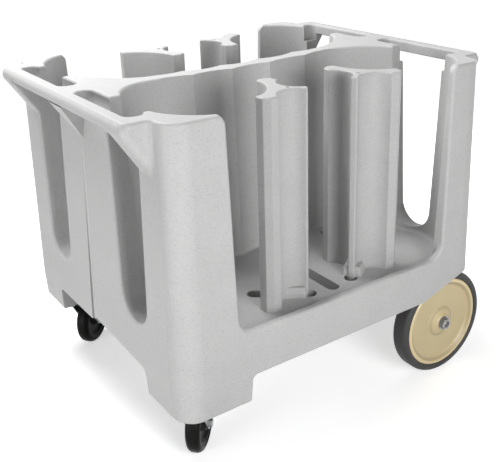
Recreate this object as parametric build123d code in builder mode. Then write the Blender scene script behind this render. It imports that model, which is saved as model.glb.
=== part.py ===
"""Plate trolley: a moulded dish caddy with four sliding towers, two rear wheels and two swivel casters.

Millimetres. +X runs from the caster end to the wheel end, -Y is the near long side and Z = 0 is the ground.
"""

import os
from math import cos, radians, sin, tan

from build123d import *

# Moulded body: outer form
BODY_LENGTH = 800.0
BODY_WIDTH = 730.0
CORNER_R = 50.0
SKIRT_Z = 214.0
FLOOR_Z = 293.0
SILL_Z = 310.0
SILL_THICK = 16.0
SILL_CORNER_R = 36.0
TOP_Z = 750.0
WALL_DRAFT = 0.7
TOP_ROUND = 6.0
FLOOR_ROUND = 8.0

# Plate columns: round bites out of the body, given at floor height and growing upwards with the draft
COLUMN_DRAFT = 1.5
BED_X = 10.0
END_BITE_R = 129.0
END_WALL = 49.0
END_NECK = 31.0
END_BITE_X = BODY_LENGTH / 2 - END_WALL - END_BITE_R
END_BITE_Y = END_NECK + END_BITE_R
POST_BITE_R = 115.0
POST_WALL = 26.0
POST_END_WALL = 35.0
POST_BITE_X = BODY_LENGTH / 2 - POST_END_WALL - POST_BITE_R
POST_BITE_Y = BODY_WIDTH / 2 - POST_WALL - POST_BITE_R
SPINE_BITE_R = 118.0
SPINE_HALF = 26.0
SPINE_END_GAP = 20.0
SPINE_BITE_PITCH = (END_BITE_X - SPINE_END_GAP) / 2
SPINE_BITE_Y = SPINE_HALF + SPINE_BITE_R
POST_LENGTH = 125.0
POST_TIP = 12.0
POST_TIP_R = 20.0
POST_EDGE_X = BODY_LENGTH / 2 - POST_LENGTH
OPEN_SIDE_Y = SPINE_BITE_Y - END_NECK
SPINE_DIP = 11.0
SPINE_DIP_END = 60.0
SPINE_DIP_LENGTH = BODY_LENGTH - 2 * SPINE_DIP_END

# End walls: tapered slots with a round bottom, and a handle rail outside them with a finger gap behind it
SLOT_R = 53.0
SLOT_BOTTOM_Z = 306.0
SLOT_TOP_WIDTH = 133.0
SLOT_SIDE = 181.0
SLOT_LEAN = 3.5
SLOT_Y = BODY_WIDTH / 2 - SLOT_SIDE
SLOT_TOP_Y = SLOT_Y - SLOT_LEAN
RAIL_PROUD = 50.0
RAIL_OUT_X = BODY_LENGTH / 2 + RAIL_PROUD
RAIL_THICK = 32.0
RAIL_DEEP = 26.0
RAIL_FACE = 22.0
RAIL_INSET = 63.0
RAIL_LENGTH = BODY_WIDTH - 2 * RAIL_INSET
RAIL_END_R = 16.0
RAIL_ROUND = 12.0
RAIL_BEVEL = 8.0
FLARE_Z = 642.0
FLARE_FOOT = 8.0
FLARE_ROUND = 10.0
FLARE_SIDE = 128.0
BRACE_TOP = 60.0
BRACE_FOOT = 10.0
BRACE_REACH = 46.0
BAR_ROUND = 3.0
EDGE_ROUND = 6.0
GRIP_GAP = 38.0
GRIP_NECK = 58.0
GRIP_SIDE = 102.0
GRIP_DEPTH = 42.0
GRIP_R = 17.0
SEAM_WIDTH = 14.0
SEAM_DEPTH = 2.0
SEAM_TOP_Z = 622.0
SEAM_LEAN = 28.0
SEAM_STEP = 12.0
SEAM_STEP_DEPTH = 90.0

# Front legs over the casters
LEG_Z = 151.0
LEG_LENGTH = 160.0
LEG_WIDTH = 150.0
LEG_DRAFT = 3.0
LEG_R = 15.0
LEG_ROUND = 9.0
LEG_BLEND = 12.0

# Rear wheels, wells and axle
WHEEL_R = 127.0
WHEEL_END = 82.0
WHEEL_INSET = 14.0
WHEEL_X = BODY_LENGTH / 2 - WHEEL_END
WHEEL_WIDTH = 42.0
WHEEL_OUT_Y = BODY_WIDTH / 2 - WHEEL_INSET
WHEEL_MID_Y = WHEEL_OUT_Y - WHEEL_WIDTH / 2
TYRE_DEEP = 18.0
WELL_GAP = 6.0
REAR_CUT_AHEAD = 84.0
REAR_CUT_BEHIND = 40.0
REAR_CUT_X = WHEEL_X - REAR_CUT_AHEAD
REAR_CUT_FLAT_X = WHEEL_X + REAR_CUT_BEHIND
REAR_CUT_RISE = 38.0
AXLE_R = 8.0
HANGER_R = 36.0
HANGER_TOP = 112.0
HANGER_GAP = 35.0
HANGER_WIDTH = 89.0
HANGER_OUT_Y = WHEEL_MID_Y - HANGER_GAP
HANGER_IN_Y = HANGER_OUT_Y - HANGER_WIDTH

# Towers
TOWER_MID_X = 24.0
TOWER_POST_GAP = 150.0
TOWER_SIDE_GAP = 129.0
TOWER_X = POST_EDGE_X - TOWER_POST_GAP
TOWER_Y = BODY_WIDTH / 2 - TOWER_SIDE_GAP
TOWER_TURN = 36.0
FAR_REAR_SHIFT = -18.0
TOWER_TOP_Z = 746.0
TOWER_SIZE = 128.0
TOWER_WIDE_R = 112.0
TOWER_WIDE_AT = 112.0
TOWER_SIDE_R = 44.0
TOWER_SIDE_X = 63.0
TOWER_SIDE_Y = 50.0
TOWER_APEX = 80.0
TOWER_TIP = 82.0
TOWER_ROUND = 4.0
TOWER_FOOT = 46.0
TOWER_FOOT_LENGTH = 70.0
TOWER_FOOT_HIGH = 22.0
TOWER_FOOT_DRAFT = 14.0
DIMPLE_R = 4.0
DIMPLE_DEEP = 12.0
FLOOR_SLOT_LENGTH = 150.0
FLOOR_SLOT_WIDTH = 30.0
FLOOR_SLOT_DEEP = 45.0
FLOOR_SLOT_SHIFT = 23.0
MID_SLOT_LENGTH = 136.0
MID_SLOT_SIDE = 127.0
MID_SLOT_Y = BODY_WIDTH / 2 - MID_SLOT_SIDE
PEG_LENGTH = 66.0
PEG_AT = 42.0
PEG_GAP = 1.5
PEG_DEEP = 32.0
DRAIN_R = 5.0
DRAIN_END_GAP = 32.0
DRAIN_SPINE_GAP = 30.0
DRAIN_X = END_BITE_X - DRAIN_END_GAP
DRAIN_Y = SPINE_HALF + DRAIN_SPINE_GAP

CUT = 20.0

# Rear wheel pieces, axial sizes measured from the middle of the wheel
HUB_R = WHEEL_R - TYRE_DEEP
HUB_BOSS = 46.0
HUB_WEB = 22.0
HUB_LIP = 10.0
HUB_LIP_STEP = 16.0
BOSS_TOP_R = 19.0
BOSS_FOOT_R = 34.0
BOSS_EDGE = 3.0
TYRE_EDGE = 3.0
TYRE_SHOULDER = 10.0
BUSH_R = 11.0
RUN_FIT = 0.05
SIDE_PLAY = 0.2
WASHER_R = 17.0
SPACER_R = 14.0
WASHER_THICK = 2.5
AXLE_NUT_AF = 24.0
AXLE_NUT_THICK = 8.0
NUT_FACE = 0.95
NUT_TAPER = 60.0
AXLE_END_GAP = 0.5
AXLE_LENGTH = BODY_WIDTH - 2 * AXLE_END_GAP
AXLE_CHAMFER = 1.5

# Casters, built around the swivel axis with the wheel trailing along local +X
SWIVEL_END = 73.0
SWIVEL_SIDE = 94.0
SWIVEL_X = SWIVEL_END - BODY_LENGTH / 2
SWIVEL_Y = BODY_WIDTH / 2 - SWIVEL_SIDE
CASTER_TURN = {"near": 43.0, "far": 38.0}
CASTER_R = 62.5
CASTER_WIDTH = 32.0
CASTER_TRAIL = 36.0
CASTER_TYRE = 15.5
CASTER_EDGE = 2.0
CASTER_SHOULDER = 12.0
CORE_WEB = 14.0
CORE_BOSS_R = 15.0
CORE_BOSS_FOOT_R = 19.0
CORE_RIM = 5.0
CORE_RIM_FOOT = 9.0
PLATE_LENGTH = 106.0
PLATE_WIDTH = 82.0
PLATE_THICK = 3.0
PLATE_R = 10.0
PLATE_BOLT_LENGTH = 82.0
PLATE_BOLT_WIDTH = 58.0
BOLT_R = 4.0
BOLT_AF = 13.0
BOLT_HEAD = 5.5
BOLT_DEEP = 24.0
BOLT_END_GAP = 2.0
RACE_R = 27.0
RACE_THICK = 5.0
RACE_GAP = 0.4
CROWN_Z = 134.0
CROWN_THICK = 4.0
PIN_R = 6.0
PIN_HEAD_R = 10.0
PIN_HEAD = 6.5
PIN_HEAD_EDGE = 2.0
FORK_GAP = 40.0
FORK_THICK = 3.0
FORK_TOP = 50.0
FORK_SHOULDER = 10.0
FORK_EYE_R = 13.0
SLEEVE_R = 8.0
PIVOT_R = 5.0
PIVOT_AF = 16.0
PIVOT_HEAD = 6.0
PIVOT_NUT = 8.0
PIVOT_END = 2.0


def slot_outline(side):
    """Draw one end-wall slot, round at the bottom and widening up past the top."""
    round_z = SLOT_BOTTOM_Z + SLOT_R
    with Locations((side * SLOT_Y, round_z)):
        Circle(SLOT_R)
    with Locations((side * SLOT_TOP_Y, TOP_Z + CUT)):
        Rectangle(SLOT_TOP_WIDTH, 1)
    make_hull()


def columns_outline(side, reach):
    """Draw the plate columns of one side: bites for spine, posts and end walls, open out to a reach in Y."""
    with Locations((BED_X, side * SPINE_BITE_Y)):
        with GridLocations(SPINE_BITE_PITCH, 0, 5, 1):
            Circle(SPINE_BITE_R)
    for end in (-1, 1):
        with Locations((end * END_BITE_X, side * END_BITE_Y)):
            Circle(END_BITE_R)
        with Locations((BED_X + end * POST_BITE_X, side * POST_BITE_Y)):
            Circle(POST_BITE_R)
    with Locations((BED_X, side * (OPEN_SIDE_Y + reach) / 2)):
        Rectangle(2 * POST_EDGE_X, reach - OPEN_SIDE_Y)


def rail_outline(underside):
    """Draw the section of the wheel end's rail over the points of its underside."""
    Polygon(
        (BODY_LENGTH / 2 - CORNER_R, TOP_Z),
        *underside,
        (RAIL_OUT_X, TOP_Z - RAIL_BEVEL),
        (RAIL_OUT_X - RAIL_BEVEL, TOP_Z),
        align=None,
    )


def tower_plane(end, side):
    """Plane at a tower's foot, with X along the direction that its wide bite faces."""
    turn = radians(-end * side * TOWER_TURN + (0 if end > 0 else 180))
    return Plane((TOWER_MID_X + end * TOWER_X, side * TOWER_Y, FLOOR_Z), (cos(turn), sin(turn), 0))


with BuildPart() as handle:
    # Rail of the wheel end: a bar on a shelf, a flare at each corner and a small brace under the middle
    with BuildSketch(Plane.XZ) as section:
        rail_outline([(BODY_LENGTH / 2 - CORNER_R, TOP_Z - RAIL_DEEP), (RAIL_OUT_X, TOP_Z - RAIL_DEEP)])
        fillet(section.vertices().group_by(Axis.X)[-1], RAIL_ROUND)
    extrude(amount=RAIL_LENGTH / 2, both=True)
    for side in (-1, 1):
        with BuildSketch(Plane.XZ.offset(-side * (BODY_WIDTH / 2 - FLARE_SIDE))) as section:
            rail_outline(
                [
                    (BODY_LENGTH / 2 - CORNER_R, FLARE_Z),
                    (BODY_LENGTH / 2 - FLARE_FOOT, FLARE_Z),
                    (RAIL_OUT_X, TOP_Z - RAIL_FACE),
                ]
            )
            fillet(section.vertices().group_by(Axis.X)[-1], RAIL_ROUND)
        extrude(amount=-side * (FLARE_SIDE - RAIL_INSET))
    with BuildSketch(Plane.XY.offset(TOP_Z - RAIL_DEEP)):
        with Locations((BODY_LENGTH / 2 - CORNER_R, 0)):
            Rectangle(CORNER_R + BRACE_REACH, BRACE_TOP, align=(Align.MIN, Align.CENTER))
    with BuildSketch(Plane.XY.offset(FLARE_Z)):
        with Locations((BODY_LENGTH / 2 - CORNER_R, 0)):
            Rectangle(CORNER_R - FLARE_FOOT, BRACE_FOOT, align=(Align.MIN, Align.CENTER))
    loft()
    ends = handle.edges().filter_by(lambda e: abs(e.center().Y) > RAIL_LENGTH / 2 - 1)
    outer = ends.filter_by(lambda e: e.center().X > BODY_LENGTH / 2 and e.center().Z < TOP_Z - 1)
    fillet(outer, RAIL_END_R)

with BuildPart() as leg:
    # Leg over the near caster, drafted and rounded underneath
    leg_in_x = LEG_LENGTH - BODY_LENGTH / 2
    leg_in_y = BODY_WIDTH / 2 - LEG_WIDTH
    with BuildSketch(Plane.XY.offset(SKIRT_Z)) as leg_plan:
        with Locations(((LEG_LENGTH - BODY_LENGTH) / 2, (LEG_WIDTH - BODY_WIDTH) / 2)):
            Rectangle(LEG_LENGTH, LEG_WIDTH)
        by_corner = leg_plan.vertices().sort_by_distance((0, 0, SKIRT_Z))
        fillet(by_corner[-1], CORNER_R)
        fillet(leg_plan.vertices().sort_by_distance((0, 0, SKIRT_Z))[0], LEG_R)
    extrude(amount=SKIRT_Z - LEG_Z, dir=(0, 0, -1), taper=LEG_DRAFT)
    fillet(leg.faces().sort_by(Axis.Z)[0].edges(), LEG_ROUND)

with BuildPart() as body:
    # Drafted block with large rounded corners
    with BuildSketch(Plane.XY.offset(SKIRT_Z)):
        RectangleRounded(BODY_LENGTH, BODY_WIDTH, CORNER_R)
    extrude(amount=TOP_Z - SKIRT_Z, taper=WALL_DRAFT)
    add(handle.part)
    add(mirror(handle.part, about=Plane.YZ))
    wall_x = BODY_LENGTH / 2 - (TOP_Z - SKIRT_Z) * tan(radians(WALL_DRAFT))
    # Plate columns on each side of the spine, behind a low sill
    for side in (-1, 1):
        with BuildSketch(Plane.XY.offset(FLOOR_Z)):
            columns_outline(side, BODY_WIDTH / 2 - SILL_THICK)
        extrude(amount=TOP_Z - FLOOR_Z + CUT, taper=-COLUMN_DRAFT, mode=Mode.SUBTRACT)
    floor = body.faces().filter_by(Axis.Z).filter_by(lambda f: abs(f.center().Z - FLOOR_Z) < 1)
    fillet(floor.edges(), FLOOR_ROUND)
    # Side openings above the sill, rounded where the posts rise from it
    for side in (-1, 1):
        with BuildSketch(Plane.XZ.offset(-side * OPEN_SIDE_Y)) as opening:
            with BuildLine():
                low = POST_EDGE_X + (SILL_Z - FLOOR_Z) * tan(radians(COLUMN_DRAFT))
                high = low + (TOP_Z - POST_TIP - SILL_Z) * tan(radians(COLUMN_DRAFT))
                wide = high + POST_TIP + CUT
                Polyline(
                    (BED_X - low, SILL_Z),
                    (BED_X + low, SILL_Z),
                    (BED_X + high, TOP_Z - POST_TIP),
                    (BED_X + wide, TOP_Z + CUT),
                    (BED_X - wide, TOP_Z + CUT),
                    (BED_X - high, TOP_Z - POST_TIP),
                    close=True,
                )
            make_face()
            fillet(opening.vertices().group_by(Axis.Y)[0], SILL_CORNER_R)
            fillet(opening.vertices().group_by(Axis.Y)[-2], POST_TIP_R)
        extrude(amount=-side * BODY_WIDTH / 2, mode=Mode.SUBTRACT)
    lips = body.edges().filter_by(lambda e: abs(e.center().Y) > BODY_WIDTH / 2 - SILL_THICK + 2)
    lips = lips.filter_by(lambda e: SILL_Z - 1 < e.center().Z < TOP_Z - 1)
    lips = lips.filter_by(lambda e: abs(e.center().X - BED_X) < wide)
    fillet(lips.filter_by(Axis.Y, reverse=True), EDGE_ROUND)
    # End-wall slots, open upwards behind the rail and outwards below it, rounded along their outer edges
    for side in (-1, 1):
        with BuildSketch(Plane.YZ):
            slot_outline(side)
        extrude(amount=RAIL_OUT_X - RAIL_THICK, both=True, mode=Mode.SUBTRACT)
        with BuildSketch(Plane.YZ):
            slot_outline(side)
            with Locations((0, TOP_Z)):
                Rectangle(BODY_WIDTH, 2 * RAIL_DEEP, mode=Mode.SUBTRACT)
        extrude(amount=RAIL_OUT_X + CUT, both=True, mode=Mode.SUBTRACT)
    roots = body.edges().filter_by(lambda e: wall_x - 1 < abs(e.center().X) < wall_x + FLARE_FOOT)
    roots = roots.filter_by(lambda e: FLARE_Z - 1 < e.center().Z < TOP_Z - 1)
    roots = roots.filter_by(lambda e: SLOT_TOP_Y + SLOT_R < abs(e.center().Y) < RAIL_LENGTH / 2 + 1)
    fillet(roots, FLARE_ROUND)
    rims = body.edges().filter_by(lambda e: SLOT_BOTTOM_Z - 1 < e.center().Z < TOP_Z - RAIL_DEEP - 1)
    rims = rims.filter_by(lambda e: abs(e.center().X) > wall_x - 1)
    rims = rims.filter_by(lambda e: abs(abs(e.center().Y) - SLOT_TOP_Y) < SLOT_TOP_WIDTH / 2 + 2)
    fillet(rims, EDGE_ROUND)
    # Finger gaps behind the rails, two to a rail with a neck between them
    grip_end = BODY_WIDTH / 2 - GRIP_SIDE
    grip_x = RAIL_OUT_X - RAIL_THICK - GRIP_GAP / 2
    with BuildSketch(Plane.XY.offset(TOP_Z)):
        with GridLocations(2 * grip_x, grip_end + GRIP_NECK / 2, 2, 2):
            RectangleRounded(GRIP_GAP, grip_end - GRIP_NECK / 2, GRIP_R)
    extrude(amount=-GRIP_DEPTH, mode=Mode.SUBTRACT)
    # Rounded inner edge under each rail bar
    bars = body.edges().filter_by(Axis.Y).filter_by(lambda e: abs(e.center().Z - TOP_Z + RAIL_DEEP) < 1)
    bars = bars.filter_by(lambda e: abs(abs(e.center().X) - RAIL_OUT_X + RAIL_THICK) < 1)
    fillet(bars, BAR_ROUND)
    # Shallow dip along the top of the spine
    with BuildSketch(Plane.XZ):
        with BuildLine():
            low = ThreePointArc(
                (-SPINE_DIP_LENGTH / 2, TOP_Z), (0, TOP_Z - SPINE_DIP), (SPINE_DIP_LENGTH / 2, TOP_Z)
            )
            Polyline(low @ 1, low @ 1 + (0, CUT), low @ 0 + (0, CUT), low @ 0)
        make_face()
    extrude(amount=OPEN_SIDE_Y - CUT, both=True, mode=Mode.SUBTRACT)
    # Front legs, blended into the skirt
    add(leg.part)
    add(mirror(leg.part, about=Plane.XZ))
    joins = body.edges().filter_by(lambda e: abs(e.center().Z - SKIRT_Z) < 1)
    joins = joins.filter_by(lambda e: leg_in_y - 1 < abs(e.center().Y) < BODY_WIDTH / 2 - 1)
    joins = joins.filter_by(lambda e: CORNER_R - BODY_LENGTH / 2 < e.center().X < leg_in_x + 1)
    fillet(joins, LEG_BLEND)
    # Moulding seam down the caster end, with a step in the bottom edge on its near side
    with BuildSketch(Plane.YZ.offset(-BODY_LENGTH / 2)):
        Polygon(
            (SEAM_LEAN - SEAM_WIDTH / 2, SKIRT_Z),
            (SEAM_LEAN + SEAM_WIDTH / 2, SKIRT_Z),
            (SEAM_WIDTH / 2, SEAM_TOP_Z),
            (-SEAM_WIDTH / 2, SEAM_TOP_Z),
            align=None,
        )
    seam_draft = (SEAM_TOP_Z - SKIRT_Z) * tan(radians(WALL_DRAFT))
    extrude(amount=SEAM_DEPTH + seam_draft / 2, mode=Mode.SUBTRACT)
    with BuildSketch(Plane.YZ.offset(-BODY_LENGTH / 2)):
        with BuildLine():
            Polyline(
                (SEAM_LEAN, SKIRT_Z),
                (SEAM_LEAN, SKIRT_Z + SEAM_STEP),
                (LEG_WIDTH - BODY_WIDTH / 2, SKIRT_Z),
                close=True,
            )
        make_face()
    extrude(amount=SEAM_STEP_DEPTH, mode=Mode.SUBTRACT)
    # Underside rising behind the wheels, and the wheel wells
    with BuildSketch(Plane.XZ):
        with BuildLine():
            Polyline(
                (REAR_CUT_X, SKIRT_Z),
                (BODY_LENGTH / 2 + CUT, SKIRT_Z),
                (BODY_LENGTH / 2 + CUT, SKIRT_Z + REAR_CUT_RISE),
                (REAR_CUT_FLAT_X, SKIRT_Z + REAR_CUT_RISE),
                close=True,
            )
        make_face()
    extrude(amount=BODY_WIDTH, both=True, mode=Mode.SUBTRACT)
    with Locations((WHEEL_X, WHEEL_MID_Y, WHEEL_R), (WHEEL_X, -WHEEL_MID_Y, WHEEL_R)):
        well = 2 * (WHEEL_R + WELL_GAP)
        Box(well, WHEEL_WIDTH + 2 * WELL_GAP, well, mode=Mode.SUBTRACT)
    # Axle hangers
    for side in (-1, 1):
        with BuildSketch(Plane.XZ.offset(-side * HANGER_IN_Y)):
            with Locations((WHEEL_X, WHEEL_R)):
                Circle(HANGER_R)
            with Locations((WHEEL_X, (SKIRT_Z + FLOOR_Z) / 2)):
                Rectangle(HANGER_TOP, 1)
            make_hull()
        extrude(amount=-side * (HANGER_OUT_Y - HANGER_IN_Y))
    with BuildSketch(Plane.XZ):
        with Locations((WHEEL_X, WHEEL_R)):
            Circle(AXLE_R)
    extrude(amount=BODY_WIDTH, both=True, mode=Mode.SUBTRACT)
    # Floor slots: one under each tower and a spare in the middle of each side
    with BuildSketch(Plane.XY.offset(FLOOR_Z)):
        for side in (-1, 1):
            for end in (-1, 1):
                with Locations(tower_plane(end, side).from_local_coords((-FLOOR_SLOT_SHIFT, 0, 0))):
                    SlotOverall(FLOOR_SLOT_LENGTH, FLOOR_SLOT_WIDTH, rotation=-end * side * TOWER_TURN)
            with Locations((TOWER_MID_X, side * MID_SLOT_Y)):
                SlotOverall(MID_SLOT_LENGTH, FLOOR_SLOT_WIDTH, rotation=90)
    extrude(amount=-FLOOR_SLOT_DEEP, mode=Mode.SUBTRACT)
    with BuildSketch(Plane.XY.offset(FLOOR_Z)):
        with GridLocations(2 * DRAIN_X, 2 * DRAIN_Y, 2, 2):
            Circle(DRAIN_R)
    extrude(amount=SKIRT_Z - FLOOR_Z, mode=Mode.SUBTRACT)
    # Threaded holes for the caster plates
    for side in (-1, 1):
        with BuildSketch(Plane.XY.offset(LEG_Z)):
            with Locations((SWIVEL_X, side * SWIVEL_Y)):
                with GridLocations(PLATE_BOLT_LENGTH, PLATE_BOLT_WIDTH, 2, 2):
                    Circle(BOLT_R)
        extrude(amount=BOLT_DEEP, mode=Mode.SUBTRACT)
    # Rounded rims of posts, rails and spine
    rim = body.faces().filter_by(Axis.Z).filter_by(lambda f: f.center().Z > TOP_Z - 1)
    fillet(rim.edges(), TOP_ROUND)
body.part.label = "body"


def tower(label, end, side, shift=0.0):
    """One sliding tower: a square block with three round bites, set along its floor slot by a shift."""
    over_slot = tower_plane(end, side)
    foot = Plane(over_slot.from_local_coords((shift, 0, 0)), over_slot.x_dir)
    with BuildPart() as block:
        with BuildSketch(foot) as plan:
            Rectangle(TOWER_SIZE, TOWER_SIZE, rotation=45)
            with Locations((TOWER_WIDE_AT, 0)):
                Circle(TOWER_WIDE_R, mode=Mode.SUBTRACT)
            with Locations((-TOWER_SIDE_X, -TOWER_SIDE_Y), (-TOWER_SIDE_X, TOWER_SIDE_Y)):
                Circle(TOWER_SIDE_R, mode=Mode.SUBTRACT)
            with Locations((-TOWER_APEX, 0)):
                Rectangle(2 * TOWER_SIZE, 2 * TOWER_TIP, align=(Align.MIN, Align.CENTER), mode=Mode.INTERSECT)
            fillet(plan.vertices(), TOWER_ROUND)
        extrude(amount=TOWER_TOP_Z - FLOOR_Z)
        fillet(block.faces().sort_by(Axis.Z)[-1].edges(), TOWER_ROUND)
        # Flared foot over the floor slot, and the peg in the slot
        with BuildSketch(foot):
            with Locations((-PEG_AT, 0)):
                RectangleRounded(TOWER_FOOT_LENGTH, TOWER_FOOT, TOWER_FOOT / 6)
        extrude(amount=TOWER_FOOT_HIGH, taper=TOWER_FOOT_DRAFT)
        with BuildSketch(foot):
            with Locations((-PEG_AT, 0)):
                SlotOverall(PEG_LENGTH, FLOOR_SLOT_WIDTH - 2 * PEG_GAP)
        extrude(amount=-PEG_DEEP)
        # Moulding dimple in the top
        with BuildSketch(foot.offset(TOWER_TOP_Z - FLOOR_Z)):
            with Locations((-TOWER_APEX / 2, 0)):
                Circle(DIMPLE_R)
        extrude(amount=-DIMPLE_DEEP, mode=Mode.SUBTRACT)
    block.part.label = label
    return block.part


def turned(label, plane, points, shoulder=0.0):
    """Revolve an outline of (axial, radial) points around the X axis of a plane, with round shoulders."""
    with BuildPart() as ring:
        with BuildSketch(plane) as outline:
            with BuildLine():
                Polyline(*points, close=True)
            make_face()
            if shoulder:
                fillet(outline.vertices().group_by(Axis.Y)[-1], shoulder)
        revolve(axis=Axis(plane.origin, plane.x_dir))
    ring.part.label = label
    return ring.part


def ring_points(start, end, inner, outer):
    return [(start, inner), (end, inner), (end, outer), (start, outer)]


def hexagon(label, plane, across, thick, hole):
    """A hexagon nut lying on a plane, with its free corners turned off."""
    with BuildPart() as nut:
        with BuildSketch(plane):
            RegularPolygon(across / 2, 6, major_radius=False)
            Circle(hole, mode=Mode.SUBTRACT)
        extrude(amount=thick)
        with BuildSketch(plane):
            Circle(NUT_FACE * across / 2 + thick * tan(radians(NUT_TAPER)))
        extrude(amount=thick, taper=NUT_TAPER, mode=Mode.INTERSECT)
    nut.part.label = label
    return nut.part


def axle_plane(side, at):
    """Plane across the rear axle, at a distance from the middle, facing outwards."""
    return Plane((WHEEL_X, side * at, WHEEL_R), x_dir=(1, 0, 0), z_dir=(0, side, 0))


def rear_wheel(name, side):
    """Tyre, hub, bush, spacer, washer and nut at one end of the rear axle."""
    along = Plane((WHEEL_X, side * WHEEL_MID_Y, WHEEL_R), x_dir=(0, side, 0), z_dir=(side, 0, 0))
    half = WHEEL_WIDTH / 2
    boss = HUB_BOSS / 2
    web = HUB_WEB / 2
    tread = [
        (half - TYRE_EDGE, HUB_R),
        (half, HUB_R + TYRE_EDGE),
        (half, WHEEL_R),
    ]
    tread += [(-a, r) for a, r in reversed(tread)]
    face = [
        (boss, BUSH_R),
        (boss, BOSS_TOP_R),
        (boss - BOSS_EDGE, BOSS_TOP_R + BOSS_EDGE),
        (web + BOSS_EDGE, BOSS_FOOT_R),
        (web, BOSS_FOOT_R + 2 * BOSS_EDGE),
        (web, HUB_R - HUB_LIP_STEP - BOSS_EDGE),
        (web + BOSS_EDGE / 2, HUB_R - HUB_LIP_STEP),
        (half - BOSS_EDGE, HUB_R - HUB_LIP),
        (half - BOSS_EDGE / 3, HUB_R - HUB_LIP + BOSS_EDGE),
        (half - BOSS_EDGE / 3, HUB_R - BOSS_EDGE),
        (half - TYRE_EDGE, HUB_R),
    ]
    hub = face + [(-a, r) for a, r in reversed(face)]
    bush_end = WHEEL_MID_Y + boss
    washer = ring_points(boss + SIDE_PLAY, boss + SIDE_PLAY + WASHER_THICK, AXLE_R + RUN_FIT, WASHER_R)
    spacer = ring_points(
        HANGER_OUT_Y - WHEEL_MID_Y, -boss - SIDE_PLAY, AXLE_R + RUN_FIT, SPACER_R
    )
    nut_at = axle_plane(side, bush_end + SIDE_PLAY + WASHER_THICK)
    return [
        turned(name + "_wheel_tyre", along, tread, TYRE_SHOULDER),
        turned(name + "_wheel_hub", along, hub),
        turned(name + "_wheel_bush", along, ring_points(-boss, boss, AXLE_R + RUN_FIT, BUSH_R)),
        turned(name + "_axle_spacer", along, spacer),
        turned(name + "_axle_washer", along, washer),
        hexagon(name + "_axle_nut", nut_at, AXLE_NUT_AF, AXLE_NUT_THICK, AXLE_R),
    ]


def rear_axle():
    """One steel rod through both hangers, chamfered at its ends."""
    with BuildPart() as rod:
        with BuildSketch(axle_plane(1, 0)):
            Circle(AXLE_R)
        extrude(amount=AXLE_LENGTH / 2, both=True)
        chamfer(rod.faces().filter_by(Axis.Y).edges(), AXLE_CHAMFER)
    rod.part.label = "rear_axle"
    return rod.part


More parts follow.
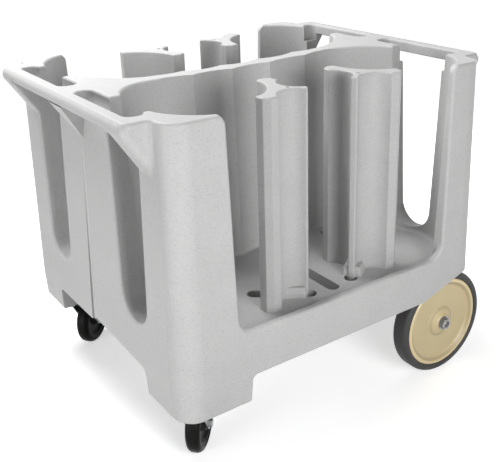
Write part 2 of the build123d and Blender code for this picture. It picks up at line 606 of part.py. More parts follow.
def caster(name, side):
    """The pieces of one swivel caster, with its wheel trailing in the direction of CASTER_TURN."""
    turn = radians(CASTER_TURN[name])
    level = Plane((SWIVEL_X, side * SWIVEL_Y, 0), x_dir=(cos(turn), sin(turn), 0))
    square = Plane((SWIVEL_X, side * SWIVEL_Y, 0))
    plate_z = LEG_Z - PLATE_THICK
    race_z = plate_z - RACE_THICK
    upright = Plane(level.origin, x_dir=level.x_dir, z_dir=level.y_dir * -1)
    across = Plane(level.from_local_coords((CASTER_TRAIL, 0, CASTER_R)), level.y_dir, level.x_dir)
    spindle = Plane(level.origin, x_dir=(0, 0, 1), z_dir=level.x_dir)
    half = CASTER_WIDTH / 2
    core_r = CASTER_R - CASTER_TYRE
    outer = FORK_GAP / 2 + FORK_THICK
    with BuildPart() as plate:
        with BuildSketch(square.offset(plate_z)):
            RectangleRounded(PLATE_LENGTH, PLATE_WIDTH, PLATE_R)
            with GridLocations(PLATE_BOLT_LENGTH, PLATE_BOLT_WIDTH, 2, 2):
                Circle(BOLT_R, mode=Mode.SUBTRACT)
            Circle(PIN_R, mode=Mode.SUBTRACT)
        extrude(amount=PLATE_THICK)
    plate.part.label = name + "_caster_plate"
    with BuildPart() as bolts:
        with BuildSketch(square.offset(plate_z)):
            with GridLocations(PLATE_BOLT_LENGTH, PLATE_BOLT_WIDTH, 2, 2):
                RegularPolygon(BOLT_AF / 2, 6, major_radius=False)
        extrude(amount=-BOLT_HEAD)
        with BuildSketch(square.offset(plate_z)):
            with GridLocations(PLATE_BOLT_LENGTH, PLATE_BOLT_WIDTH, 2, 2):
                Circle(BOLT_R)
        extrude(amount=PLATE_THICK + BOLT_DEEP - BOLT_END_GAP)
    bolts.part.label = name + "_caster_bolts"
    with BuildPart() as fork:
        with BuildSketch(upright):
            with Locations((CASTER_TRAIL, CASTER_R)):
                Circle(FORK_EYE_R)
            with Locations((0, CROWN_Z + CROWN_THICK)):
                Rectangle(FORK_TOP, FORK_SHOULDER, align=(Align.CENTER, Align.MAX))
            make_hull()
        extrude(amount=outer, both=True)
        with BuildSketch(upright):
            with Locations((0, CROWN_Z / 2 - CUT)):
                Rectangle(8 * CASTER_TRAIL, CROWN_Z + 2 * CUT)
        extrude(amount=FORK_GAP / 2, both=True, mode=Mode.SUBTRACT)
        with BuildSketch(level.offset(CROWN_Z)):
            Circle(RACE_R)
        extrude(amount=race_z - RACE_GAP - CROWN_Z)
        with BuildSketch(level.offset(CROWN_Z)):
            Circle(PIN_R + RUN_FIT)
        extrude(amount=LEG_Z - CROWN_Z, mode=Mode.SUBTRACT)
        with BuildSketch(upright):
            with Locations((CASTER_TRAIL, CASTER_R)):
                Circle(PIVOT_R)
        extrude(amount=outer + CUT, both=True, mode=Mode.SUBTRACT)
    fork.part.label = name + "_caster_fork"
    web = CORE_WEB / 2
    core = [
        (half + CASTER_EDGE, SLEEVE_R + RUN_FIT),
        (half + CASTER_EDGE, CORE_BOSS_R),
        (web, CORE_BOSS_FOOT_R),
        (web, core_r - CORE_RIM_FOOT),
        (half - CASTER_EDGE, core_r - CORE_RIM),
        (half - CASTER_EDGE, core_r),
    ]
    tread = [
        (half - CASTER_EDGE, core_r),
        (half, core_r + CASTER_EDGE),
        (half, CASTER_R),
    ]
    pin = [
        (LEG_Z, 0),
        (LEG_Z, PIN_R),
        (CROWN_Z - RACE_GAP, PIN_R),
        (CROWN_Z - RACE_GAP, PIN_HEAD_R),
        (CROWN_Z - RACE_GAP - PIN_HEAD, PIN_HEAD_R - PIN_HEAD_EDGE),
        (CROWN_Z - RACE_GAP - PIN_HEAD, 0),
    ]
    with BuildPart() as pivot:
        with BuildSketch(upright.offset(outer)):
            with Locations((CASTER_TRAIL, CASTER_R)):
                RegularPolygon(PIVOT_AF / 2, 6, major_radius=False)
        extrude(amount=PIVOT_HEAD)
        with BuildSketch(upright.offset(outer)):
            with Locations((CASTER_TRAIL, CASTER_R)):
                Circle(PIVOT_R)
        extrude(amount=-2 * outer - PIVOT_NUT - PIVOT_END)
    pivot.part.label = name + "_caster_pivot"
    nut_at = Plane(across.from_local_coords((outer, 0, 0)), x_dir=level.x_dir, z_dir=level.y_dir)
    return [
        plate.part,
        bolts.part,
        turned(name + "_caster_race", spindle, ring_points(race_z, plate_z, PIN_R, RACE_R)),
        turned(name + "_caster_kingpin", spindle, pin),
        fork.part,
        turned(name + "_caster_tyre", across, tread + [(-a, r) for a, r in reversed(tread)], CASTER_SHOULDER),
        turned(name + "_caster_core", across, core + [(-a, r) for a, r in reversed(core)]),
        turned(name + "_caster_sleeve", across, ring_points(-FORK_GAP / 2, FORK_GAP / 2, PIVOT_R, SLEEVE_R)),
        pivot.part,
        hexagon(name + "_caster_nut", nut_at, PIVOT_AF, PIVOT_NUT, PIVOT_R),
    ]


pieces = [body.part, rear_axle()]
for side_name, side in (("near", -1), ("far", 1)):
    for end_name, end in (("front", -1), ("rear", 1)):
        shift = FAR_REAR_SHIFT if (end, side) == (1, 1) else 0.0
        pieces.append(tower(side_name + "_" + end_name + "_tower", end, side, shift))
    pieces += rear_wheel(side_name, side)
    pieces += caster(side_name, side)

os.makedirs("parts", exist_ok=True)
for piece in pieces:
    export_step(piece, "parts/" + piece.label + ".step")
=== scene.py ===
"""Looks of the plate trolley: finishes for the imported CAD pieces, and a plain studio to show them in."""

import math
from typing import NamedTuple

import bpy
from mathutils import Matrix, Vector


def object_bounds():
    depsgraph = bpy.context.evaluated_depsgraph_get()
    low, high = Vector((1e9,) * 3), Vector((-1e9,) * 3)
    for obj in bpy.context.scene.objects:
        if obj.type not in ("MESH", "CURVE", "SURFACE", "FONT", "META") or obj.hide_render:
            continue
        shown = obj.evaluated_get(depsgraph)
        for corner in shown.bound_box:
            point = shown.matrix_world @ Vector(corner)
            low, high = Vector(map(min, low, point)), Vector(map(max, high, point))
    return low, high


bl_info = {
    "name": "Plate Trolley Looks",
    "version": (1, 0, 0),
    "blender": (4, 5, 0),
    "location": "View3D > Sidebar > Trolley",
    "description": "Finishes for a moulded plate trolley and a studio around it",
    "category": "Object",
}

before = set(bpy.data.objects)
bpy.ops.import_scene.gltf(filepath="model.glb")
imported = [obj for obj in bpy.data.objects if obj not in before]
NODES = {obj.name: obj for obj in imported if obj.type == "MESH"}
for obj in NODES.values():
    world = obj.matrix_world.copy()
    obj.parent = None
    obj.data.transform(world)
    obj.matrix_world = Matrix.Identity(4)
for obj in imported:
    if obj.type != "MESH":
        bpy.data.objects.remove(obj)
cad_low, cad_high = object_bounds()

SIDES = ("near", "far")


# ------------------------------------------------------------ kinds of setting


class Skin(NamedTuple):
    """A moulded skin: its clouds of colour and gloss, and its uneven surface."""

    grain: float  # fine grains per metre
    waves: float  # slow waves per metre
    shades: tuple  # darkest and palest cloud, as factors of the colour
    roughness: tuple  # smoothest and roughest cloud
    height: float  # height of the bump in metres
    bump: float  # strength of the bump
    specular: float  # specular level


class Specks(NamedTuple):
    """Scattered specks on a lattice of random cells."""

    crowding: float  # factor on the number of cells per metre
    radius: float  # in cells
    share: float  # part of the cells that have a speck
    strength: float  # how far the speck covers the colour below


class Plating(NamedTuple):
    """Plated or bright steel."""

    mottle: float  # crystals per metre
    roughness: tuple  # smoothest and roughest crystal


class Ring(NamedTuple):
    """A tinted ring around the rear wheels' axis, with lengths in metres."""

    inner: float
    outer: float
    fade: float  # width of the soft edges
    shade: float  # factor of the hub colour
    strength: float


class SoftBox(NamedTuple):
    """A square lamp, in metres."""

    place: Vector
    aim: Vector
    side: float


# -------------------------------------------------------------------- settings

# The photograph's frame and the camera that took it, in metres and degrees
PHOTO_WIDTH = 500
SENSOR_WIDTH = 36.0
FOCAL_PIXELS = 802.0
VIEW_AZIMUTH = -34.316
VIEW_ELEVATION = 19.738
VIEW_ROLL = -1.636
VIEW_DISTANCE = 1.9007
VIEW_AIM = Vector((0.0147, 0.0, 0.4803))
VIEW_SHIFT_Y = -0.12
VIEW_REACH = 200

# Moulding seam of the caster end, in metres: a bump over its whole height
SEAM_LOW = 0.214
SEAM_HIGH = 0.622
SEAM_LEAN = 0.028
SEAM_WIDTH = 0.014
SEAM_EDGE = 0.004
SEAM_DEPTH = 0.003
SEAM_WALL_X = -0.385
# The seam's painted light, a lighter band that lifts the shade in its groove: factor of the body colour, and
# strength
SEAM_PAINTED_LIGHT_FACTOR = 1.3
SEAM_PAINTED_LIGHT_STRENGTH = 0.6

# Moulded skins
PLASTIC_SKIN = Skin(700.0, 7.0, (0.965, 1.02), (0.44, 0.56), 0.0012, 0.55, 0.25)
HUB_SKIN = Skin(900.0, 22.0, (0.95, 1.04), (0.34, 0.44), 0.0004, 0.4, 0.45)
TYRE_SKIN = Skin(1200.0, 30.0, (0.8, 1.3), (0.5, 0.68), 0.0004, 0.5, 0.4)
BUSH_SKIN = Skin(1500.0, 40.0, (0.88, 1.12), (0.34, 0.48), 0.0003, 0.4, 0.5)
CORE_SKIN = Skin(1500.0, 40.0, (0.88, 1.12), (0.36, 0.5), 0.0003, 0.4, 0.1)
TREAD_SKIN = Skin(1500.0, 40.0, (0.88, 1.12), (0.24, 0.38), 0.0003, 0.4, 0.05)
GRAIN_SHARE = 0.12
CLOUDS_PER_METRE = 14.0
CLOUD_SPREAD = (0.32, 0.68)
# Detail and roughness of each noise
GRAIN_NOISE = (2.0, 0.55)
WAVE_NOISE = (1.0, 0.4)
CLOUD_NOISE = (4.0, 0.6)

# Specks in the plastics and bloom on the rubber
PALE_SPECKS = Specks(1.4, 0.36, 0.4, 0.6)
FINE_SPECKS = Specks(2.1, 0.36, 0.35, 0.5)
DARK_SPECKS = Specks(1.0, 0.34, 0.55, 0.75)
HUB_FLECKS = Specks(1.0, 0.3, 0.12, 0.25)
TYRE_BLOOM = Specks(1.0, 0.45, 0.3, 0.2)
PALE_SPECK_SHADE = 1.3
HUB_FLECK_SHADE = 0.7
TYRE_BLOOM_SHADE = 2.4
HUB_FLECKS_PER_METRE = 420.0
TYRE_BLOOM_PER_METRE = 300.0
SPECK_CORE = 0.45  # the part of a speck's radius that has its full strength
TREAD_SHADE = 0.25  # the caster treads against the tyre colour

# Rear wheels: their axis (x and z in metres), and a painted highlight on the hub lips and painted shade in
# the hub grooves and round the bosses
WHEEL_AXIS = (0.318, 0.127)
HUB_LIP_PAINTED_HIGHLIGHT = Ring(0.1030, 0.1080, 0.0015, 1.45, 0.8)
HUB_GROOVE_PAINTED_SHADE = Ring(0.0960, 0.0990, 0.0025, 0.5, 0.45)
HUB_BOSS_PAINTED_SHADE = Ring(0.0325, 0.0365, 0.0025, 0.5, 0.35)

# Steel
AXLE_PLATING = Plating(90.0, (0.24, 0.4))
FITTING_PLATING = Plating(260.0, (0.14, 0.3))
CASTER_PLATING = Plating(200.0, (0.2, 0.36))
PLATING_SHADES = (1.1, 0.86)
PLATING_HEIGHT = 0.00004
PLATING_BUMP = 0.5
MOTTLE_SPREAD = (0.05, 0.45)
MOTTLE_CLOUDS_PER_METRE = 60.0
SCRATCHES_PER_METRE = 1600.0
SCRATCH_STRETCH = (1.0, 1.0, 0.05)
CRYSTAL_SMOOTHNESS = 0.6
# Detail and roughness of each noise
MOTTLE_NOISE = (5.0, 0.65)
SCRATCH_NOISE = (2.0, 0.5)

# Studio
LEFT_BOX = SoftBox(Vector((-2.15, -0.5, 0.42)), Vector((-0.4, -0.2, 0.4)), 1.0)
FRONT_BOX = SoftBox(Vector((-0.2, -2.0, 0.9)), Vector((-0.1, -0.3, 0.4)), 1.0)
RIGHT_BOX = SoftBox(Vector((2.2, 0.5, 0.8)), Vector((0.4, 0.0, 0.4)), 1.2)
TOP_BOX = SoftBox(Vector((-0.35, 0.75, 2.0)), Vector((0.0, 0.0, 0.6)), 1.25)
FLOOR_ROUGHNESS = 0.9
FLOOR_SPECULAR = 0.1
# Glow of the floor to the eye: it rises between two distances in metres, from one level to another
FLOOR_GLOW_REACH = (0.5, 1.5)
FLOOR_GLOW_LEVEL = (0.5, 1.0)

# Sockets of a colour Mix node, by number because it has several of each name
MIX_FACTOR, MIX_FIRST, MIX_SECOND, MIX_RESULT = 0, 6, 7, 2


# ------------------------------------------------------------------ properties


class TrolleyFinish(bpy.types.PropertyGroup):
    """Colours and grain of the trolley's pieces."""

    body_colour: bpy.props.FloatVectorProperty(
        name="Body",
        description="Moulded body plastic",
        subtype="COLOR",
        size=4,
        default=(0.48, 0.48, 0.477, 1),
    )
    tower_colour: bpy.props.FloatVectorProperty(
        name="Towers",
        description="Sliding tower plastic",
        subtype="COLOR",
        size=4,
        default=(0.47, 0.47, 0.467, 1),
    )
    speck_colour: bpy.props.FloatVectorProperty(
        name="Specks",
        description="Dark specks in the plastic",
        subtype="COLOR",
        size=4,
        default=(0.30, 0.31, 0.33, 1),
    )
    speck_spacing: bpy.props.FloatProperty(
        name="Speck spacing",
        description="Distance between specks",
        subtype="DISTANCE",
        default=0.0036,
        min=0.001,
    )
    hub_colour: bpy.props.FloatVectorProperty(
        name="Hubs",
        description="Rear wheel hub plastic",
        subtype="COLOR",
        size=4,
        default=(0.56, 0.46, 0.27, 1),
    )
    tyre_colour: bpy.props.FloatVectorProperty(
        name="Tyres",
        description="Tyre rubber",
        subtype="COLOR",
        size=4,
        default=(0.028, 0.028, 0.027, 1),
    )
    core_colour: bpy.props.FloatVectorProperty(
        name="Caster cores",
        description="Caster wheel centres",
        subtype="COLOR",
        size=4,
        default=(0.02, 0.02, 0.021, 1),
    )
    bush_colour: bpy.props.FloatVectorProperty(
        name="Bushes",
        description="Nylon wheel bushes",
        subtype="COLOR",
        size=4,
        default=(0.74, 0.72, 0.64, 1),
    )
    zinc_colour: bpy.props.FloatVectorProperty(
        name="Zinc",
        description="Zinc-plated steel",
        subtype="COLOR",
        size=4,
        default=(0.33, 0.335, 0.345, 1),
    )
    axle_colour: bpy.props.FloatVectorProperty(
        name="Axle",
        description="Dark steel axle",
        subtype="COLOR",
        size=4,
        default=(0.11, 0.11, 0.115, 1),
    )


class TrolleyStage(bpy.types.PropertyGroup):
    """Floor and lamps of the studio."""

    floor_colour: bpy.props.FloatVectorProperty(
        name="Floor",
        description="Studio floor as the eye sees it",
        subtype="COLOR",
        size=4,
        default=(0.9, 0.9, 0.9, 1),
    )
    bounce_colour: bpy.props.FloatVectorProperty(
        name="Bounce",
        description="Studio floor as it lights the trolley",
        subtype="COLOR",
        size=4,
        default=(0.4, 0.4, 0.4, 1),
    )
    floor_size: bpy.props.FloatProperty(
        name="Floor size",
        description="Side of the square floor",
        subtype="DISTANCE",
        default=60.0,
        min=2.0,
    )
    sky_strength: bpy.props.FloatProperty(
        name="Sky", description="Even light from all round", default=0.02, min=0.0
    )
    left_power: bpy.props.FloatProperty(
        name="Left", description="Soft box on the caster end", subtype="POWER", default=24.0, min=0.0
    )
    front_power: bpy.props.FloatProperty(
        name="Front", description="Soft box on the near side", subtype="POWER", default=30.0, min=0.0
    )
    right_power: bpy.props.FloatProperty(
        name="Right", description="Soft box on the wheel end", subtype="POWER", default=13.0, min=0.0
    )
    top_power: bpy.props.FloatProperty(
        name="Top", description="Soft box overhead", subtype="POWER", default=48.0, min=0.0
    )


# -------------------------------------------------------------- shader helpers


def feed(tree, node, socket, value):
    """Give an input a fixed value, or join a (node, output) pair to it."""
    if isinstance(value, tuple) and isinstance(value[0], bpy.types.Node):
        tree.links.new(value[0].outputs[value[1]], node.inputs[socket])
    else:
        node.inputs[socket].default_value = value


def add_node(tree, kind, values=None, **settings):
    """Add a shader node, with settings by attribute and values or pairs by input."""
    node = tree.nodes.new(kind)
    for name, value in settings.items():
        setattr(node, name, value)
    for socket, value in (values or {}).items():
        feed(tree, node, socket, value)
    return node


def calculate(tree, operation, *values, clamp=False):
    """The result of a Math node, as a pair."""
    settings = {"operation": operation, "use_clamp": clamp}
    return add_node(tree, "ShaderNodeMath", dict(enumerate(values)), **settings), 0


def calculate_vector(tree, operation, *values, output=0):
    """The result of a Vector Math node, as a pair."""
    return add_node(tree, "ShaderNodeVectorMath", dict(enumerate(values)), operation=operation), output


def spread(tree, value, span=(0.0, 1.0), to=(0.0, 1.0), smooth=False):
    """A value moved from one span to another, as a pair."""
    sockets = {"Value": value, "From Min": span[0], "From Max": span[1], "To Min": to[0], "To Max": to[1]}
    interpolation = "SMOOTHSTEP" if smooth else "LINEAR"
    return add_node(tree, "ShaderNodeMapRange", sockets, interpolation_type=interpolation), "Result"


def mix_colours(tree, factor, first, second):
    """One colour mixed into another by a factor, as a pair."""
    sockets = {MIX_FACTOR: factor, MIX_FIRST: first, MIX_SECOND: second}
    return add_node(tree, "ShaderNodeMix", sockets, data_type="RGBA"), MIX_RESULT


def noise(tree, vector, scale, fineness):
    """The level of a noise texture, with its detail and roughness given together, as a pair."""
    detail, roughness = fineness
    sockets = {"Vector": vector, "Scale": scale, "Detail": detail, "Roughness": roughness}
    return add_node(tree, "ShaderNodeTexNoise", sockets), "Fac"


def shade(colour, factor):
    """A colour made lighter or darker."""
    return (colour[0] * factor, colour[1] * factor, colour[2] * factor, 1)


def new_group(name, numbers, outputs):
    """An empty shader node group with a vector input, number inputs and number outputs."""
    group = bpy.data.node_groups.new(name, "ShaderNodeTree")
    group.interface.new_socket("Vector", in_out="INPUT", socket_type="NodeSocketVector")
    for label in numbers:
        group.interface.new_socket(label, in_out="INPUT", socket_type="NodeSocketFloat")
    for label in outputs:
        group.interface.new_socket(label, in_out="OUTPUT", socket_type="NodeSocketFloat")
    return group, group.nodes.new("NodeGroupInput"), group.nodes.new("NodeGroupOutput")


def speckle_group():
    """Scattered specks: a mask that is 1 on some of the points of a random lattice."""
    group, given, out = new_group("Speckle", ["Per metre", "Radius", "Share"], ["Mask"])
    sockets = {"Vector": (given, "Vector"), "Scale": (given, "Per metre")}
    cells = add_node(group, "ShaderNodeTexVoronoi", sockets)
    core = calculate(group, "MULTIPLY", (given, "Radius"), SPECK_CORE)
    spot = spread(group, (cells, "Distance"), ((given, "Radius"), core), smooth=True)
    random = add_node(group, "ShaderNodeSeparateColor", {"Color": (cells, "Color")})
    chosen = calculate(group, "LESS_THAN", (random, "Red"), (given, "Share"))
    feed(group, out, "Mask", calculate(group, "MULTIPLY", spot, chosen))
    return group


def skin_group():
    """Moulded skin: a fine grain over slow waves for the height, and soft clouds for colour and gloss."""
    group, given, out = new_group("Moulded skin", ["Grain per metre", "Waves per metre"], ["Height", "Cloud"])
    vector = (given, "Vector")
    grain = noise(group, vector, (given, "Grain per metre"), GRAIN_NOISE)
    waves = noise(group, vector, (given, "Waves per metre"), WAVE_NOISE)
    clouds = noise(group, vector, CLOUDS_PER_METRE, CLOUD_NOISE)
    feed(group, out, "Height", calculate(group, "MULTIPLY_ADD", grain, GRAIN_SHARE, waves))
    feed(group, out, "Cloud", spread(group, clouds, CLOUD_SPREAD))
    return group


def plating_group():
    """Plated or drawn metal: a crystal mottle and fine scratches."""
    group, given, out = new_group("Plating", ["Mottle per metre"], ["Mottle", "Height"])
    vector = (given, "Vector")
    sockets = {"Vector": vector, "Scale": (given, "Mottle per metre"), "Smoothness": CRYSTAL_SMOOTHNESS}
    crystals = add_node(group, "ShaderNodeTexVoronoi", sockets, feature="SMOOTH_F1")
    clouds = noise(group, vector, MOTTLE_CLOUDS_PER_METRE, MOTTLE_NOISE)
    mottle = calculate(group, "MULTIPLY", (crystals, "Distance"), clouds, clamp=True)
    feed(group, out, "Mottle", spread(group, mottle, MOTTLE_SPREAD))
    stretched = add_node(group, "ShaderNodeMapping", {"Vector": vector, "Scale": SCRATCH_STRETCH})
    feed(group, out, "Height", noise(group, (stretched, "Vector"), SCRATCHES_PER_METRE, SCRATCH_NOISE))
    return group


def place_group(tree, name, build, coords, values):
    """Put a shared group into a material, building it the first time."""
    group = bpy.data.node_groups.get(name) or build()
    return add_node(tree, "ShaderNodeGroup", {"Vector": coords, **values}, node_tree=group)


def new_material(name):
    """A plain material: the material, its tree, its Object coordinates and its shader."""
    material = bpy.data.materials.new(name)
    material.use_nodes = True
    tree = material.node_tree
    coords = (add_node(tree, "ShaderNodeTexCoord"), "Object")
    return material, tree, coords, tree.nodes["Principled BSDF"]


def add_bump(tree, shader, height, distance, strength=1.0):
    """Raise a surface by a height, in metres, over any bump that it has."""
    sockets = {"Strength": strength, "Distance": distance, "Height": height}
    bump = add_node(tree, "ShaderNodeBump", sockets)
    for before in shader.inputs["Normal"].links:
        tree.links.new(before.from_socket, bump.inputs["Normal"])
    feed(tree, shader, "Normal", (bump, "Normal"))


def scatter(tree, coords, per_metre, specks, below, colour):
    """Specks of a colour over the colour below, as a pair."""
    values = {"Per metre": per_metre * specks.crowding, "Radius": specks.radius, "Share": specks.share}
    cells = place_group(tree, "Speckle", speckle_group, coords, values)
    return mix_colours(tree, spread(tree, (cells, "Mask"), to=(0.0, specks.strength)), below, colour)


def seam_mask(tree, coords):
    """1 along the moulding seam of the caster end, fading over its edges, and 0 elsewhere."""
    place = add_node(tree, "ShaderNodeSeparateXYZ", {"Vector": coords})
    line = spread(tree, (place, "Z"), (SEAM_LOW, SEAM_HIGH), (SEAM_LEAN, 0.0))
    below_top = spread(tree, (place, "Z"), (SEAM_HIGH - SEAM_EDGE, SEAM_HIGH), (1.0, 0.0), smooth=True)
    off_line = calculate(tree, "ABSOLUTE", calculate(tree, "SUBTRACT", (place, "Y"), line))
    half = SEAM_WIDTH / 2
    on_line = spread(tree, off_line, (half - SEAM_EDGE, half), (1.0, 0.0), smooth=True)
    at_end = calculate(tree, "LESS_THAN", (place, "X"), SEAM_WALL_X)
    return calculate(tree, "MULTIPLY", calculate(tree, "MULTIPLY", on_line, below_top), at_end)


def wheel_distance(tree, coords):
    """Distance from the rear wheels' axis, which runs along Y."""
    offset = calculate_vector(tree, "SUBTRACT", coords, (WHEEL_AXIS[0], 0.0, WHEEL_AXIS[1]))
    flat = calculate_vector(tree, "MULTIPLY", offset, (1.0, 0.0, 1.0))
    return calculate_vector(tree, "LENGTH", flat, output="Value")


def ring_mask(tree, distance, ring):
    """The ring's strength between its two radii, fading at its edges, and 0 elsewhere."""
    rise = spread(tree, distance, (ring.inner - ring.fade, ring.inner), (0.0, ring.strength), smooth=True)
    fall = spread(tree, distance, (ring.outer, ring.outer + ring.fade), (1.0, 0.0), smooth=True)
    return calculate(tree, "MULTIPLY", rise, fall)


# ------------------------------------------------------------------- materials


def moulding(name, colour, skin):
    """A moulded material, with the clouded colour that it starts from as a pair."""
    material, tree, coords, shader = new_material(name)
    values = {"Grain per metre": skin.grain, "Waves per metre": skin.waves}
    surface = place_group(tree, "Moulded skin", skin_group, coords, values)
    cloud = (surface, "Cloud")
    ground = mix_colours(tree, cloud, *(shade(colour, factor) for factor in skin.shades))
    feed(tree, shader, "Base Color", ground)
    feed(tree, shader, "Roughness", spread(tree, cloud, to=skin.roughness))
    feed(tree, shader, "Specular IOR Level", skin.specular)
    add_bump(tree, shader, (surface, "Height"), skin.height, skin.bump)
    return material, tree, coords, shader, ground


def speckled_plastic(name, colour, finish, seam=False):
    """Satin moulded plastic with dark and pale specks, and the moulding seam where asked for, with painted
    light along it.
    """
    material, tree, coords, shader, ground = moulding(name, colour, PLASTIC_SKIN)
    per_metre = 1 / finish.speck_spacing
    dark = tuple(finish.speck_colour)
    looks = scatter(tree, coords, per_metre, PALE_SPECKS, ground, shade(colour, PALE_SPECK_SHADE))
    looks = scatter(tree, coords, per_metre, FINE_SPECKS, looks, dark)
    looks = scatter(tree, coords, per_metre, DARK_SPECKS, looks, dark)
    if seam:
        mask = seam_mask(tree, coords)
        add_bump(tree, shader, mask, -SEAM_DEPTH)
        # Painted light: a lighter band along the seam lifts the shade in its groove
        seam_painted_light = spread(tree, mask, to=(0.0, SEAM_PAINTED_LIGHT_STRENGTH))
        looks = mix_colours(tree, seam_painted_light, looks, shade(colour, SEAM_PAINTED_LIGHT_FACTOR))
    feed(tree, shader, "Base Color", looks)
    return material


def hub_plastic(finish):
    """Tan hub plastic: a little glossy and faintly clouded, with a painted highlight on its lip and painted
    shade in its hollows.
    """
    colour = finish.hub_colour
    material, tree, coords, shader, ground = moulding("Tan hub plastic", colour, HUB_SKIN)
    fleck = shade(colour, HUB_FLECK_SHADE)
    looks = scatter(tree, coords, HUB_FLECKS_PER_METRE, HUB_FLECKS, ground, fleck)
    distance = wheel_distance(tree, coords)
    # Painted highlight on the lip, and painted shade in the groove and at the boss's foot
    for ring in (HUB_LIP_PAINTED_HIGHLIGHT, HUB_GROOVE_PAINTED_SHADE, HUB_BOSS_PAINTED_SHADE):
        looks = mix_colours(tree, ring_mask(tree, distance, ring), looks, shade(colour, ring.shade))
    feed(tree, shader, "Base Color", looks)
    return material


def tyre_rubber(finish):
    """Solid tyre rubber: dark grey, dull, with a dusty bloom."""
    colour = finish.tyre_colour
    material, tree, coords, shader, ground = moulding("Tyre rubber", colour, TYRE_SKIN)
    bloom = shade(colour, TYRE_BLOOM_SHADE)
    feed(tree, shader, "Base Color", scatter(tree, coords, TYRE_BLOOM_PER_METRE, TYRE_BLOOM, ground, bloom))
    return material


def plated_steel(name, colour, plating):
    """Plated or bright steel: mottled colour and gloss with fine scratches."""
    material, tree, coords, shader = new_material(name)
    surface = place_group(tree, "Plating", plating_group, coords, {"Mottle per metre": plating.mottle})
    mottle = (surface, "Mottle")
    ground = mix_colours(tree, mottle, *(shade(colour, factor) for factor in PLATING_SHADES))
    feed(tree, shader, "Base Color", ground)
    feed(tree, shader, "Roughness", spread(tree, mottle, to=plating.roughness))
    feed(tree, shader, "Metallic", 1.0)
    add_bump(tree, shader, (surface, "Height"), PLATING_HEIGHT, PLATING_BUMP)
    return material


def seen_directly(tree):
    """The Light Path node, and a pair that is 1 for the eye and its reflections and 0 for other light."""
    path = add_node(tree, "ShaderNodeLightPath")
    return path, calculate(tree, "ADD", (path, "Is Camera Ray"), (path, "Is Glossy Ray"), clamp=True)


def studio_floor(seen_colour, bounce_colour):
    """A matte floor, pale to the eye and in reflections, and calmer where it lights the trolley."""
    material, tree, coords, shader = new_material("Studio floor")
    seen = seen_directly(tree)[1]
    reach = calculate_vector(tree, "LENGTH", coords, output="Value")
    glow = spread(tree, reach, FLOOR_GLOW_REACH, FLOOR_GLOW_LEVEL, smooth=True)
    feed(tree, shader, "Base Color", mix_colours(tree, seen, bounce_colour, seen_colour))
    feed(tree, shader, "Emission Color", calculate(tree, "MULTIPLY", glow, seen))
    feed(tree, shader, "Emission Strength", 1.0)
    feed(tree, shader, "Roughness", FLOOR_ROUGHNESS)
    feed(tree, shader, "Specular IOR Level", FLOOR_SPECULAR)
    return material


def dress(names, material):
    """Give CAD pieces a material in every slot they have."""
    for name in names:
        piece = NODES[name]
        if not piece.material_slots:
            piece.data.materials.append(material)
        for slot in piece.material_slots:
            slot.material = material


def of_both_sides(pattern, *kinds):
    """Piece names for both sides of the trolley, from a pattern with {side} and {kind}."""
    return [pattern.format(side=side, kind=kind) for side in SIDES for kind in kinds]


# ------------------------------------------------------------------- operators


class TROLLEY_OT_body(bpy.types.Operator):
    """Finish the moulded body in speckled plastic."""

    bl_idname = "trolley.body"
    bl_label = "Body"

    def execute(self, context):
        finish = context.scene.trolley_finish
        dress(["body"], speckled_plastic("Body plastic", finish.body_colour, finish, seam=True))
        return {"FINISHED"}


class TROLLEY_OT_towers(bpy.types.Operator):
    """Finish the four sliding towers in speckled plastic."""

    bl_idname = "trolley.towers"
    bl_label = "Towers"

    def execute(self, context):
        finish = context.scene.trolley_finish
        plastic = speckled_plastic("Tower plastic", finish.tower_colour, finish)
        dress(of_both_sides("{side}_{kind}_tower", "front", "rear"), plastic)
        return {"FINISHED"}


class TROLLEY_OT_rear_wheels(bpy.types.Operator):
    """Finish the rear wheels: tyres, hubs and bushes."""

    bl_idname = "trolley.rear_wheels"
    bl_label = "Rear wheels"

    def execute(self, context):
        finish = context.scene.trolley_finish
        wheel = "{side}_wheel_{kind}"
        dress(of_both_sides(wheel, "tyre"), tyre_rubber(finish))
        dress(of_both_sides(wheel, "hub"), hub_plastic(finish))
        dress(of_both_sides(wheel, "bush"), moulding("Bush nylon", finish.bush_colour, BUSH_SKIN)[0])
        return {"FINISHED"}


class TROLLEY_OT_axle(bpy.types.Operator):
    """Finish the rear axle with its spacers, washers and nuts."""

    bl_idname = "trolley.axle"
    bl_label = "Axle"

    def execute(self, context):
        finish = context.scene.trolley_finish
        dress(["rear_axle"], plated_steel("Axle steel", finish.axle_colour, AXLE_PLATING))
        fittings = of_both_sides("{side}_axle_{kind}", "spacer", "washer", "nut")
        dress(fittings, plated_steel("Axle zinc", finish.zinc_colour, FITTING_PLATING))
        return {"FINISHED"}


class TROLLEY_OT_casters(bpy.types.Operator):
    """Finish the swivel casters: plated steel, black cores and rubber tyres."""

    bl_idname = "trolley.casters"
    bl_label = "Casters"

    def execute(self, context):
        finish = context.scene.trolley_finish
        caster = "{side}_caster_{kind}"
        steel = ("plate", "bolts", "race", "kingpin", "fork", "sleeve", "pivot", "nut")
        tread_colour = shade(finish.tyre_colour, TREAD_SHADE)
        dress(of_both_sides(caster, *steel), plated_steel("Caster zinc", finish.zinc_colour, CASTER_PLATING))
        dress(of_both_sides(caster, "core"), moulding("Caster core", finish.core_colour, CORE_SKIN)[0])
        dress(of_both_sides(caster, "tyre"), moulding("Caster tread", tread_colour, TREAD_SKIN)[0])
        return {"FINISHED"}


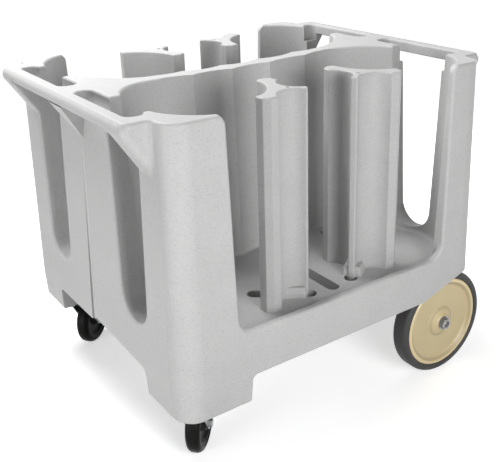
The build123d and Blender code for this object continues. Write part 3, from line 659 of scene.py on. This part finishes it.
class TROLLEY_OT_stage(bpy.types.Operator):
    """Set out the floor, sky, lamps and camera."""

    bl_idname = "trolley.stage"
    bl_label = "Stage"

    def execute(self, context):
        stage = context.scene.trolley_stage
        bpy.ops.object.select_all(action="DESELECT")
        bpy.ops.mesh.primitive_plane_add(size=stage.floor_size, location=(0, 0, cad_low.z))
        floor = context.object
        floor.name = "studio_floor"
        floor.data.materials.append(studio_floor(tuple(stage.floor_colour), tuple(stage.bounce_colour)))
        set_sky(context.scene, stage.sky_strength)
        add_soft_box("left_lamp", LEFT_BOX, stage.left_power)
        add_soft_box("front_lamp", FRONT_BOX, stage.front_power)
        add_soft_box("right_lamp", RIGHT_BOX, stage.right_power)
        add_soft_box("top_lamp", TOP_BOX, stage.top_power)
        set_camera(context.scene)
        context.scene.view_settings.view_transform = "Standard"
        return {"FINISHED"}


def set_sky(scene, strength):
    """A white backdrop to the eye and in reflections, and a weaker even light on the object."""
    world = bpy.data.worlds.new("Studio sky")
    scene.world = world
    world.use_nodes = True
    tree = world.node_tree
    sky = tree.nodes["Background"]
    path, seen = seen_directly(tree)
    through = calculate(tree, "ADD", seen, (path, "Is Transmission Ray"), clamp=True)
    feed(tree, sky, "Color", (1, 1, 1, 1))
    feed(tree, sky, "Strength", spread(tree, through, to=(strength, 1.0)))


def add_soft_box(name, box, power):
    """A square lamp that faces a point and stays out of sight itself."""
    bpy.ops.object.light_add(type="AREA", location=box.place)
    lamp = bpy.context.object
    lamp.name = name
    lamp.rotation_euler = (box.place - box.aim).to_track_quat("Z", "Y").to_euler()
    lamp.data.energy = power
    lamp.data.size = box.side
    lamp.visible_camera = False


def set_camera(scene):
    """The camera at the photograph's place, with its small roll."""
    azimuth, elevation, roll = (math.radians(a) for a in (VIEW_AZIMUTH, VIEW_ELEVATION, VIEW_ROLL))
    level = math.cos(elevation)
    back = Vector((math.sin(azimuth) * level, -math.cos(azimuth) * level, math.sin(elevation)))
    right = (-back).cross(Vector((0, 0, 1))).normalized()
    up = right.cross(-back)
    rolled_right = right * math.cos(roll) + up * math.sin(roll)
    rolled_up = up * math.cos(roll) - right * math.sin(roll)
    turn = Matrix((rolled_right, rolled_up, back)).transposed().to_4x4()
    bpy.ops.object.camera_add()
    camera = bpy.context.object
    camera.name = "photo_camera"
    camera.matrix_world = Matrix.Translation(VIEW_AIM + back * VIEW_DISTANCE) @ turn
    camera.data.sensor_width = SENSOR_WIDTH
    camera.data.lens = FOCAL_PIXELS * SENSOR_WIDTH / PHOTO_WIDTH
    camera.data.shift_y = VIEW_SHIFT_Y
    camera.data.clip_end = VIEW_REACH
    scene.camera = camera


STEPS = (
    TROLLEY_OT_body,
    TROLLEY_OT_towers,
    TROLLEY_OT_rear_wheels,
    TROLLEY_OT_axle,
    TROLLEY_OT_casters,
    TROLLEY_OT_stage,
)


class TROLLEY_PT_sidebar(bpy.types.Panel):
    """Lists the trolley's finishing steps and their settings."""

    bl_label = "Plate trolley"
    bl_idname = "TROLLEY_PT_sidebar"
    bl_space_type = "VIEW_3D"
    bl_region_type = "UI"
    bl_category = "Trolley"

    def draw(self, context):
        for step in STEPS:
            self.layout.operator(step.bl_idname)
        for group in (context.scene.trolley_finish, context.scene.trolley_stage):
            for name in group.__annotations__:
                self.layout.prop(group, name)


CLASSES = (TrolleyFinish, TrolleyStage, *STEPS, TROLLEY_PT_sidebar)


def register():
    for cls in CLASSES:
        bpy.utils.register_class(cls)
    bpy.types.Scene.trolley_finish = bpy.props.PointerProperty(type=TrolleyFinish)
    bpy.types.Scene.trolley_stage = bpy.props.PointerProperty(type=TrolleyStage)


def unregister():
    del bpy.types.Scene.trolley_stage
    del bpy.types.Scene.trolley_finish
    for cls in reversed(CLASSES):
        bpy.utils.unregister_class(cls)


def main():
    """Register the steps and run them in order."""
    register()
    bpy.ops.trolley.body()
    bpy.ops.trolley.towers()
    bpy.ops.trolley.rear_wheels()
    bpy.ops.trolley.axle()
    bpy.ops.trolley.casters()
    bpy.ops.trolley.stage()


if __name__ == "__main__":
    main()
